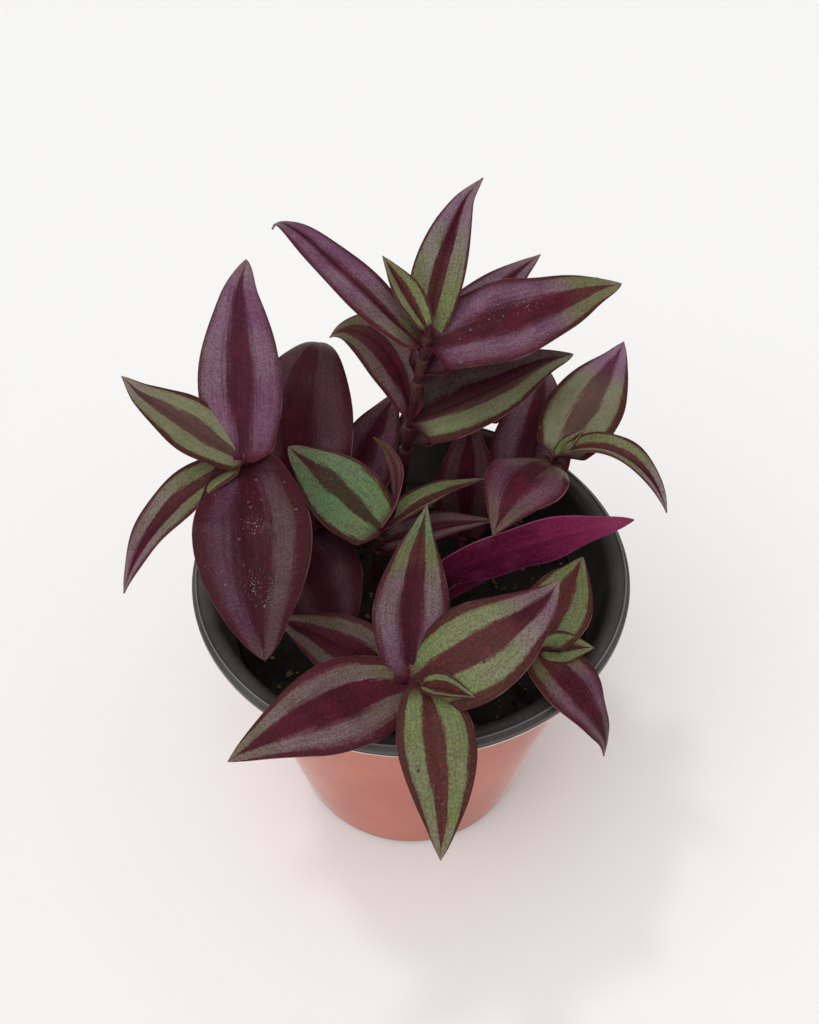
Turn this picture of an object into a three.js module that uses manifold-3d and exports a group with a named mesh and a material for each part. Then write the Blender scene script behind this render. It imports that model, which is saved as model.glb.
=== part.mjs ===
// Potted tradescantia: a thin two-tone nursery pot, its soil and ten leafy shoots.
// Millimetres, +Z up. The origin is the centre of the pot's underside.
// Headings are degrees seen from above: 0 is +X, 90 is +Y, 270 is towards the viewer.

import * as THREE from "three";
import { mergeVertices } from "three/addons/utils/BufferGeometryUtils.js";
import Module from "manifold-3d";

const wasm = await Module();
wasm.setup();

// Pot
const POT_HEIGHT = 98;
const RIM_RADIUS = 60;
const BODY_TOP_RADIUS = 56;
const BASE_RADIUS = 39;
const POT_WALL = 1.2;
const BASE_CHAMFER = 1.5;
const FLANGE_LIP = 3.2;
const BEAD_HEIGHT = 0.7;
const BEAD_HALF_WIDTH = 0.85;
const MOUTH_EDGE = 0.6;
const MOUTH_ROUND = 1.8;
const POT_SIDES = 40;
const DRAIN_HOLES = 6;
const DRAIN_RADIUS = 3.5;
const DRAIN_CIRCLE = 27;
const DRAIN_SIDES = 12;

// Soil
const SOIL_LEVEL = 77;
const LUMP_HEIGHT = 1.1;
const LUMP_WIDTH = 3.4;
const CRUMB_HEIGHT = 0.7;
const CRUMB_WIDTH = 2.1;
const SOIL_CHAMFER = 1.5;
const SOIL_RINGS = 6;
const SOIL_SIDES = 20;
const GAP = 0.3;
const FACET_ALLOWANCE = 0.1;

// Stems
const STEM_BASE_LEVEL = 76;
const ROOT_DEPTH = 20;
const STEM_RADIUS = 1.9;
const STEM_TIP_RADIUS = 1.4;
const STEM_SIDES = 8;
const STEM_STEPS = 6;
const ARC_STEPS = 24;
const SHEATH_LENGTH = 7;
const SHEATH_RADIUS = 2.7;
const SHEATH_SHOULDER = 0.2;
const SHEATH_STEP = 0.3;
const SHEATH_SPACING = 5;

// Leaves
const LEAF_CELLS = 4;
const LEAF_STEPS = 7;
const MID_THICKNESS = 0.95;
const EDGE_THICKNESS = 0.66;
const BASE_HALF_WIDTH = 1.4;
const BASE_SHARE = 0.1;
const ROOT_INSET = 1;
const TIP_HALF_WIDTH = 0.35;
const CUP = 0.15;
const MERGE_DISTANCE = 1e-4;

const STEM_BENDS = { droop: 0, sweep: 0, bend: 1, roll: 0 };
const LEAF_BENDS = { droop: 25, sweep: 0, bend: 1, roll: 0, fold: 12, peak: 0.37, taper: 1 };

// A stem stands at x, y and sets off at a heading and a rise, both in degrees. Over its length it droops,
// and its heading sweeps round. A bend over 1 keeps the droop for the far end.
function stem(x, y, heading, rise, length, bends = {}) {
  return { ...STEM_BENDS, x, y, heading, rise, length, ...bends };
}

// A leaf leaves its stem at a share of the stem's length and runs like a stem. It is rolled about its midrib,
// folded along it, widest at its peak, and slimmer towards both ends the higher its taper is.
function leaf(at, heading, rise, length, width, shape = {}) {
  return { ...LEAF_BENDS, at, heading, rise, length, width, ...shape };
}

const SHOOTS = {
  shoot_tall: {
    stem: stem(-4, 30, 331, 78, 87, { droop: -2, sweep: -56 }),
    leaves: {
      long_right: leaf(0.93, 14, 7, 53, 25, { droop: 6, sweep: 19, roll: 18, fold: 10 }),
      under_right: leaf(0.62, 17, 9, 46, 25, { droop: 0, sweep: 15, roll: 30, fold: 14 }),
      folded_left: leaf(0.64, 122, 71, 45, 18, { droop: 122, sweep: 34, roll: -25, fold: 30 }),
      long_left: leaf(0.93, 163, 38, 64, 12, {
        droop: 84,
        bend: 2,
        sweep: -52,
        roll: -12,
        peak: 0.3,
        taper: 1.2,
      }),
      inner_bud: leaf(1, 127, 28, 22, 9, { droop: 10, fold: 35 }),
      upright: leaf(0.97, 83, 45, 43, 14, { droop: 25, sweep: -27, fold: 22 }),
      rear_right: leaf(0.8, 50, 28, 48, 18, { droop: 24, fold: 15 }),
      rear_under: leaf(0.5, 50, 18, 38, 18, { droop: 40 }),
    },
  },
  shoot_left: {
    stem: stem(-28, 7.5, 205, 82, 60, { droop: 15, sweep: 11 }),
    leaves: {
      tall: leaf(1, 90, 57, 49, 21, { droop: 12, taper: 0.88 }),
      small_left: leaf(1, 172, 41, 35, 16, { droop: 10, sweep: -8, roll: -5, fold: 14, peak: 0.45 }),
      curling_left: leaf(1, 209, -4, 47, 15, { droop: 59, sweep: 14, fold: 22 }),
      broad_front: leaf(0.95, 280, 10, 52, 28, { droop: 60, sweep: -3, fold: 10, taper: 0.8, peak: 0.43 }),
      dark_rear: leaf(0.45, 82, 68, 66, 30, { droop: 112, bend: 2, fold: 6, taper: 0.9, peak: 0.4 }),
      shaded_front: leaf(0.42, 293, 8, 40, 26, { droop: 30, fold: 10, taper: 0.8 }),
    },
  },
  shoot_centre: {
    stem: stem(-10, 4, 279, 90, 36, { droop: 25, sweep: 18 }),
    leaves: {
      green: leaf(1, 146, 34, 34, 20, { droop: 16, roll: -25, fold: 14, taper: 0.8 }),
      edge_on: leaf(1, 32, 17, 33, 12, { droop: 24, roll: -10, fold: 45 }),
      upright: leaf(0.9, 99, 74, 28, 14, { droop: 10, roll: 30, fold: 25 }),
      shaded_right: leaf(0.7, 5, 25, 33, 12, { fold: 25 }),
    },
  },
  shoot_front: {
    stem: stem(-2, -31.5, 241, 76, 38, { droop: 35, sweep: 77 }),
    leaves: {
      up: leaf(0.82, 86, 48, 42, 18, { droop: 22, fold: 16, taper: 1.1, peak: 0.4 }),
      broad_right: leaf(0.82, 348, 53, 46, 23, { droop: 56, sweep: 66, roll: 22, fold: 10 }),
      left: leaf(0.82, 209, 24, 46, 22, { droop: 40, roll: -15 }),
      down: leaf(1, 284, 7, 39, 18, { droop: 54, sweep: -17 }),
      bud: leaf(1, 336, 22, 13, 8, { droop: 12, fold: 40 }),
      shaded_left: leaf(0.62, 155, 23, 36, 18, { droop: 26, roll: -25, fold: 25 }),
    },
  },
  shoot_right: {
    stem: stem(25.5, 16.5, 38, 77, 49, { droop: 13, sweep: -97 }),
    leaves: {
      up: leaf(1, 55, 32, 40, 22, { droop: 12 }),
      curling: leaf(0.97, 338, 60, 40, 11, { droop: 105, sweep: -45, fold: 30 }),
      bud: leaf(1, 21, 54, 11, 5, { droop: 5, fold: 45 }),
      nodding: leaf(0.95, 234, 49, 36, 22, { droop: 98, fold: 8 }),
      dark_rear: leaf(0.45, 70, 49, 44, 20, { fold: 8, taper: 0.8 }),
    },
  },
  shoot_front_right: {
    stem: stem(25, -25.5, 293, 66, 31, { sweep: 12 }),
    leaves: {
      up: leaf(1, 62, 17, 30, 18, { droop: 16, fold: 16 }),
      bud: leaf(1, 358, 0, 12, 7, { droop: 12, fold: 40 }),
      over_rim: leaf(0.95, 309, 2, 33, 16, { droop: 80, sweep: 16, fold: 14, peak: 0.28 }),
    },
  },
  shoot_low: {
    stem: stem(6.5, -6.5, 253, 80, 28, { droop: 7, sweep: 12 }),
    leaves: {
      magenta: leaf(0.98, 12, 21, 54, 20, { droop: 16, roll: -80 }),
      rolled_young: leaf(0.3, 33, 1, 24, 8, { droop: 0, fold: 50 }),
    },
  },
  shoot_inner_left: {
    stem: stem(-18, 14.5, 97, 85, 24, { droop: 7, sweep: 18 }),
    leaves: {
      upright: leaf(1, 50, 58, 36, 21, { droop: 16, fold: 10, taper: 0.8 }),
      pale: leaf(0.5, 119, -3, 20, 16, { droop: 10, roll: 160, fold: 10 }),
      rear: leaf(0.9, 115, 30, 38, 20, { droop: 40, fold: 10 }),
    },
  },
  shoot_inner_right: {
    stem: stem(15, 15, 82, 89, 16, { droop: 21, sweep: -16 }),
    leaves: {
      striped: leaf(0.8, 86, 85, 39, 18, { droop: 10, fold: 8, taper: 0.8 }),
    },
  },
  shoot_rear: {
    stem: stem(14.5, 36.5, 41, 77, 35, { droop: 2, sweep: 17 }),
    leaves: {
      rear_right: leaf(1, 55, 30, 36, 18, { droop: 50 }),
      rear_left: leaf(0.9, 125, 35, 34, 18, { droop: 60 }),
      rear_up: leaf(1, 85, 14, 22, 12, { droop: 20, fold: 25 }),
    },
  },
};

const radians = THREE.MathUtils.degToRad;
const lerp = THREE.MathUtils.lerp;

// Direction and axes of an arc at a share q of its length: along it, across it, and up from it.
function arcAxes(arc, q) {
  const elevation = radians(arc.rise - arc.droop * q ** arc.bend);
  const heading = radians(arc.heading + arc.sweep * q);
  const along = new THREE.Vector3(
    Math.cos(elevation) * Math.cos(heading),
    Math.cos(elevation) * Math.sin(heading),
    Math.sin(elevation),
  );
  const across = new THREE.Vector3(-Math.sin(heading), Math.cos(heading), 0);
  across.applyAxisAngle(along, radians(arc.roll));
  return { along, across, up: new THREE.Vector3().crossVectors(along, across) };
}

// Point of an arc at a share q of its length, summed in short steps.
function arcPoint(start, arc, q) {
  const point = start.clone();
  for (let i = 0; i < ARC_STEPS; i++) {
    const { along } = arcAxes(arc, (q * (i + 0.5)) / ARC_STEPS);
    point.addScaledVector(along, (arc.length * q) / ARC_STEPS);
  }
  return point;
}

// Closed body through rings with the same even count of points. From flipFrom on, the cells of a ring are
// split along their other diagonal, so that both faces of a blade are split alike.
function loft(rings, flipFrom = Infinity) {
  const count = rings[0].length;
  const positions = rings.flat().flatMap((p) => [p.x, p.y, p.z]);
  const index = [];
  for (let j = 0; j + 1 < rings.length; j++) {
    for (let i = 0; i < count; i++) {
      const a = j * count + i;
      const b = j * count + ((i + 1) % count);
      const c = b + count;
      const d = a + count;
      const faces = i < flipFrom ? [a, b, c, a, c, d] : [a, b, d, b, c, d];
      index.push(...faces);
    }
  }
  const lastRing = (rings.length - 1) * count;
  for (let i = 0; i < count / 2 - 1; i++) {
    const [a, b, c, d] = [i, i + 1, count - 2 - i, count - 1 - i];
    index.push(a, c, b, a, d, c);
    index.push(...[a, b, c, a, c, d].map((k) => lastRing + k));
  }
  const geometry = new THREE.BufferGeometry();
  geometry.setAttribute("position", new THREE.Float32BufferAttribute(positions, 3));
  geometry.setIndex(index);
  return geometry;
}

function toSolid(geometry) {
  const bare = geometry.clone();
  bare.deleteAttribute("normal");
  bare.deleteAttribute("uv");
  const merged = mergeVertices(bare, MERGE_DISTANCE);
  return new wasm.Manifold(
    new wasm.Mesh({
      numProp: 3,
      vertProperties: new Float32Array(merged.attributes.position.array),
      triVerts: new Uint32Array(merged.index.array),
    }),
  );
}

function toGeometry(solid) {
  const mesh = solid.getMesh();
  const geometry = new THREE.BufferGeometry();
  geometry.setAttribute("position", new THREE.Float32BufferAttribute(mesh.vertProperties, 3));
  geometry.setIndex(Array.from(mesh.triVerts));
  return geometry;
}

// Pot radius outside the wall at a height.
const potRadius = (z) => lerp(BASE_RADIUS, BODY_TOP_RADIUS, z / POT_HEIGHT);

// Thin wall, flat floor, and a flange with a raised bead at its edge, where the lip turns down.
function makePot() {
  const flangeTop = POT_HEIGHT - BEAD_HEIGHT;
  const flangeUnder = flangeTop - POT_WALL;
  const lipFoot = POT_HEIGHT - FLANGE_LIP;
  const lipInside = RIM_RADIUS - POT_WALL;
  const beadRadius = RIM_RADIUS - BEAD_HALF_WIDTH;
  const mouth = flangeTop - MOUTH_ROUND;
  const wallInside = (z) => potRadius(z) - POT_WALL;
  const profile = [
    [0, 0],
    [BASE_RADIUS - BASE_CHAMFER, 0],
    [potRadius(BASE_CHAMFER), BASE_CHAMFER],
    [potRadius(flangeUnder), flangeUnder],
    [lipInside, flangeUnder],
    [lipInside, lipFoot],
    [RIM_RADIUS, lipFoot],
    [RIM_RADIUS, flangeTop],
    [beadRadius, POT_HEIGHT],
    [beadRadius - BEAD_HALF_WIDTH, flangeTop],
    [wallInside(mouth) + MOUTH_EDGE, flangeTop],
    [wallInside(mouth), mouth],
    [wallInside(POT_WALL + BASE_CHAMFER), POT_WALL + BASE_CHAMFER],
    [wallInside(POT_WALL) - BASE_CHAMFER, POT_WALL],
    [0, POT_WALL],
  ];
  const shell = new THREE.LatheGeometry(profile.map(([r, z]) => new THREE.Vector2(r, z)), POT_SIDES);
  shell.rotateX(Math.PI / 2);
  let solid = toSolid(shell);
  for (let i = 0; i < DRAIN_HOLES; i++) {
    const angle = (2 * Math.PI * (i + 0.5)) / DRAIN_HOLES;
    const drain = new THREE.CylinderGeometry(DRAIN_RADIUS, DRAIN_RADIUS, 4 * POT_WALL, DRAIN_SIDES);
    drain.rotateX(Math.PI / 2);
    drain.translate(DRAIN_CIRCLE * Math.cos(angle), DRAIN_CIRCLE * Math.sin(angle), 0);
    solid = solid.subtract(toSolid(drain));
  }
  return solid;
}

// Stem from its root in the soil to its tip, grown by a margin for the hole that it stands in.
function stemSolid(arc, margin = 0) {
  const base = new THREE.Vector3(arc.x, arc.y, STEM_BASE_LEVEL);
  const root = base.clone().addScaledVector(arcAxes(arc, 0).along, -ROOT_DEPTH - margin);
  const rings = [ringAt(root, arcAxes(arc, 0), STEM_RADIUS + margin)];
  for (let i = 0; i <= STEM_STEPS; i++) {
    const q = i / STEM_STEPS;
    const radius = lerp(STEM_RADIUS, STEM_TIP_RADIUS, q) + margin;
    rings.push(ringAt(arcPoint(base, arc, q), arcAxes(arc, q), radius));
  }
  return toSolid(loft(rings));
}

function ringAt(centre, axes, radius) {
  const ring = [];
  for (let i = 0; i < STEM_SIDES; i++) {
    const angle = (2 * Math.PI * i) / STEM_SIDES;
    const point = centre.clone();
    point.addScaledVector(axes.across, radius * Math.cos(angle));
    point.addScaledVector(axes.up, radius * Math.sin(angle));
    ring.push(point);
  }
  return ring;
}

// Sleeve of a leaf's base, closed round the stem just below where the blade leaves it.
function sheathSolid(arc, at) {
  const base = new THREE.Vector3(arc.x, arc.y, STEM_BASE_LEVEL);
  const start = Math.max(at - SHEATH_LENGTH / arc.length, 0);
  const widths = [
    [0, STEM_TIP_RADIUS],
    [SHEATH_SHOULDER, STEM_RADIUS + SHEATH_STEP],
    [1, SHEATH_RADIUS],
  ];
  const rings = widths.map(([share, radius]) => {
    const q = lerp(start, at, share);
    return ringAt(arcPoint(base, arc, q), arcAxes(arc, q), radius);
  });
  return toSolid(loft(rings));
}

// Half the blade's width at a share s of its length. The skew puts the widest place at the blade's peak.
function halfWidth(blade, s) {
  const skew = Math.log(0.5) / Math.log(blade.peak);
  const outline = Math.max(Math.sin(Math.PI * s ** skew), 0) ** blade.taper;
  const least = s < BASE_SHARE ? BASE_HALF_WIDTH : TIP_HALF_WIDTH;
  return Math.max((outline * blade.width) / 2, least);
}

// Blade folded along its midrib and cupped, as a thin closed body.
function leafSolid(arc, blade) {
  const stemBase = new THREE.Vector3(arc.x, arc.y, STEM_BASE_LEVEL);
  const start = arcPoint(stemBase, arc, Math.min(blade.at, 1 - ROOT_INSET / arc.length));
  const fold = radians(blade.fold);
  const rings = [];
  for (let j = 0; j <= LEAF_STEPS; j++) {
    const s = j / LEAF_STEPS;
    const centre = arcPoint(start, blade, s);
    const { across, up } = arcAxes(blade, s);
    const half = halfWidth(blade, s);
    const surfacePoint = (u, side) => {
      const thickness = lerp(MID_THICKNESS, EDGE_THICKNESS, Math.abs(u)) / Math.cos(fold);
      const lift = half * (Math.sin(fold) * Math.abs(u) - CUP * u * u);
      const point = centre.clone();
      point.addScaledVector(across, half * u * Math.cos(fold));
      point.addScaledVector(up, lift + (side * thickness) / 2);
      return point;
    };
    const shares = Array.from({ length: LEAF_CELLS + 1 }, (_, i) => (2 * i) / LEAF_CELLS - 1);
    const under = shares.map((u) => surfacePoint(u, -1));
    const upper = shares.map((u) => surfacePoint(u, 1)).reverse();
    rings.push([...under, ...upper]);
  }
  return toSolid(loft(rings, LEAF_CELLS + 1));
}

// Stem, sheaths and leaves of one shoot, grown together.
function makeShoot({ stem: arc, leaves }) {
  let solid = stemSolid(arc);
  const places = [...new Set(Object.values(leaves).map((blade) => blade.at))].sort((a, b) => a - b);
  let last = -Infinity;
  for (const at of places) {
    if ((at - last) * arc.length < SHEATH_SPACING) continue;
    solid = solid.add(sheathSolid(arc, at));
    last = at;
  }
  for (const blade of Object.values(leaves)) {
    solid = solid.add(leafSolid(arc, blade));
  }
  return solid;
}

// Soil plug with a lumpy top and a plain hole for each stem.
function makeSoil() {
  const floor = POT_WALL + GAP;
  const soilRadius = (z) => potRadius(z) - POT_WALL - GAP - FACET_ALLOWANCE;
  const topRadius = soilRadius(SOIL_LEVEL);
  const lump = (x, y) => LUMP_HEIGHT * Math.sin(x / LUMP_WIDTH + 1) * Math.cos(y / LUMP_WIDTH);
  const crumb = (x, y) => CRUMB_HEIGHT * Math.sin((x - y) / CRUMB_WIDTH + 2);
  const profile = [
    new THREE.Vector2(0, floor),
    new THREE.Vector2(soilRadius(floor) - SOIL_CHAMFER, floor),
  ];
  for (let i = 0; i <= SOIL_RINGS; i++) {
    profile.push(new THREE.Vector2(topRadius * (1 - i / SOIL_RINGS), SOIL_LEVEL));
  }
  const plug = new THREE.LatheGeometry(profile, SOIL_SIDES);
  plug.rotateX(Math.PI / 2);
  const position = plug.attributes.position;
  for (let i = 0; i < position.count; i++) {
    const x = position.getX(i);
    const y = position.getY(i);
    const insideRim = Math.hypot(x, y) < topRadius - SOIL_CHAMFER;
    if (position.getZ(i) > floor && insideRim) {
      position.setZ(i, SOIL_LEVEL + lump(x, y) + crumb(x, y));
    }
  }
  let solid = toSolid(plug);
  for (const { stem: arc } of Object.values(SHOOTS)) {
    solid = solid.subtract(stemSolid(arc, GAP / Math.cos(Math.PI / STEM_SIDES)));
  }
  return solid;
}

const POT_PLASTIC = new THREE.MeshStandardMaterial({ color: 0xb87062, roughness: 0.45, metalness: 0 });
const SOIL = new THREE.MeshStandardMaterial({ color: 0x241a14, roughness: 0.95, metalness: 0 });
const LEAF = new THREE.MeshStandardMaterial({ color: 0x5a4a55, roughness: 0.4, metalness: 0 });

function makeMesh(name, solid, material) {
  const mesh = new THREE.Mesh(toGeometry(solid), material.clone());
  mesh.name = name;
  return mesh;
}

const plant = new THREE.Group();
plant.add(makeMesh("pot", makePot(), POT_PLASTIC));
plant.add(makeMesh("soil", makeSoil(), SOIL));
for (const [name, shoot] of Object.entries(SHOOTS)) {
  plant.add(makeMesh(name, makeShoot(shoot), LEAF));
}

export default plant;
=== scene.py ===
"""Potted tradescantia: arching shoots of striped leaves, lumpy soil and a thin two-tone nursery pot."""

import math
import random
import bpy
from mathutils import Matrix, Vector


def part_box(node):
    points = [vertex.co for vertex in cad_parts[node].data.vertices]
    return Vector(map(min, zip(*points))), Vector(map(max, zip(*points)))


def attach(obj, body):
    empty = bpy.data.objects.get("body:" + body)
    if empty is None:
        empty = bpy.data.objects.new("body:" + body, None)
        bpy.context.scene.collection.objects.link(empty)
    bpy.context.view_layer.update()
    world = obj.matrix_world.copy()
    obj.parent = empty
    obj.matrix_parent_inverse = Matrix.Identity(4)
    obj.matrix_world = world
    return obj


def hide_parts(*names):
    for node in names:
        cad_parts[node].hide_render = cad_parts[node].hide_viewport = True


bl_info = {
    "name": "Potted tradescantia",
    "version": (1, 0, 0),
    "blender": (4, 5, 0),
    "location": "3D View > Sidebar > Inch Plant",
    "description": "Builds the looks of a potted tradescantia round its fixed frame",
    "category": "Object",
}

import bmesh
import bpy
from mathutils import Matrix, Vector, noise

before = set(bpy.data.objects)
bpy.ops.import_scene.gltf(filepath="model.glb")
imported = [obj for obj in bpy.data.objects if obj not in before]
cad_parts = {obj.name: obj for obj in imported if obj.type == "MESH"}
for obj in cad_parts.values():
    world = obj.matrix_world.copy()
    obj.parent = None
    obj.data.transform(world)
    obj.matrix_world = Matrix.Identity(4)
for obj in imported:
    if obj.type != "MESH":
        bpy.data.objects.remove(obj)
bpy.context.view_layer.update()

MM = 0.001
BODY = "root"

# Highest corner of the pot, and both corners of the soil, from the frame
POT_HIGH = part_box("pot")[1]
SOIL_LOW, SOIL_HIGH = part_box("soil")
RIM_RADIUS = POT_HIGH.x
POT_HEIGHT = POT_HIGH.z

# Stems and leaves, in millimetres and degrees. They follow the frame's shoots.
STEM_FOOT = 76
ROOT_DEPTH = 20
STEM_RADIUS = 1.7
STEM_TIP_RADIUS = 0.95
SHEATH_LENGTH = 7
SHEATH_SPACING = 5
ROOT_INSET = 1
CUP = 0.15
ARC_STEPS = 24

# A leaf's outline. The draw and the fullness change its taper near the tip and at the base.
TIP_DRAW = -0.08
TIP_HALF_WIDTH = 0.45
TIP_REACH = 0.9
BASE_FULL = 0.48
LEAST_TAPER = 0.34
SLEEVE_SHARE = 0.075


def srgb(red, green, blue):
    """Linear colour of a screen colour given in 0 to 255."""

    def linear(level):
        share = level / 255
        return share / 12.92 if share <= 0.04045 else ((share + 0.055) / 1.055) ** 2.4

    return (linear(red), linear(green), linear(blue))


def smooth(low, high, value):
    """0 below low, 1 above high, and a smooth step between them."""
    share = min(max((value - low) / (high - low), 0.0), 1.0)
    return share * share * (3 - 2 * share)


def lerp(start, end, share):
    """Value at a share of the way from start to end."""
    return start + (end - start) * share


class Arc:
    """A stem or a midrib. It sets off at a heading and a rise, and droops and sweeps over its length."""

    def __init__(self, heading, rise, length, droop=0, sweep=0, bend=1, roll=0):
        self.heading = heading
        self.rise = rise
        self.length = length
        self.droop = droop
        self.sweep = sweep
        self.bend = bend
        self.roll = roll

    def axes(self, share):
        """Along, across and up at a share of the length."""
        elevation = math.radians(self.rise - self.droop * share**self.bend)
        heading = math.radians(self.heading + self.sweep * share)
        flat = math.cos(elevation)
        along = Vector((flat * math.cos(heading), flat * math.sin(heading), math.sin(elevation)))
        across = Vector((-math.sin(heading), math.cos(heading), 0))
        across.rotate(Matrix.Rotation(math.radians(self.roll), 3, along))
        return along, across, along.cross(across)

    def point(self, start, share):
        """Point at a share of the length, in millimetres."""
        place = Vector(start)
        for step in range(ARC_STEPS):
            along, _, _ = self.axes(share * (step + 0.5) / ARC_STEPS)
            place += along * self.length * share / ARC_STEPS
        return place


class Stem(Arc):
    """A stem that stands at x, y in the soil."""

    def __init__(self, x, y, heading, rise, length, **bends):
        super().__init__(heading, rise, length, **bends)
        self.foot = Vector((x, y, STEM_FOOT))


class Look:
    """How a leaf is striped and wetted.

    Base, middle and tip are the stripes' violet shares, 0 for green and below 0 for mint. Split makes the
    half on the left of the midrib, seen from the stem, more violet. Silver is how strong the stripes are,
    band how wide the dark band along the midrib is, and margin how much wider than usual the dark margin is,
    as a share of the half. Depth is painted shade: it darkens the blade towards near black. Below 0 it
    paints a pale highlight on the upper face instead. It may be a pair, for the right and left halves.
    """

    def __init__(self, base, middle, tip, split=0.0, silver=1.0, wet=0.0, band=1.0, margin=0.0, depth=0.0):
        self.base = base
        self.middle = middle
        self.tip = tip
        self.split = split
        self.silver = silver
        self.wet = wet
        self.band = band
        self.margin = margin
        self.depth = depth if isinstance(depth, tuple) else (depth, depth)

    def violet(self, u, share):
        """Violet share at a place on the blade."""
        if share < 0.5:
            mean = lerp(self.base, self.middle, smooth(0.05, 0.5, share))
        else:
            mean = lerp(self.middle, self.tip, smooth(0.5, 0.9, share))
        return mean + self.split * u


class Leaf(Arc):
    """A leaf, by where on its stem it grows, its midrib, its width, its look and its form.

    Fold turns both halves up along the midrib, peak is where it is widest, and taper slims both ends. Hook
    turns the tip aside, in millimetres. Sleeve is the share of the length that is folded round the stem.
    """

    def __init__(self, at, heading, rise, length, width, look, **form):
        self.fold = form.pop("fold", 12)
        self.peak = form.pop("peak", 0.37)
        self.taper = form.pop("taper", 1)
        self.hook = form.pop("hook", 0)
        self.sleeve = form.pop("sleeve", SLEEVE_SHARE)
        form.setdefault("droop", 25)
        super().__init__(heading, rise, length, **form)
        self.at = at
        self.width = width
        self.look = look

    def half_width(self, share):
        """Half the blade's width at a share of its length, full at the clasping base."""
        skew = math.log(0.5) / math.log(self.peak)
        taper = self.taper + TIP_DRAW * smooth(0.8, 1, share) - BASE_FULL * (1 - smooth(0, 0.4, share))
        outline = max(math.sin(math.pi * share**skew), 0) ** max(taper, LEAST_TAPER)
        return outline * self.width / 2


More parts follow.
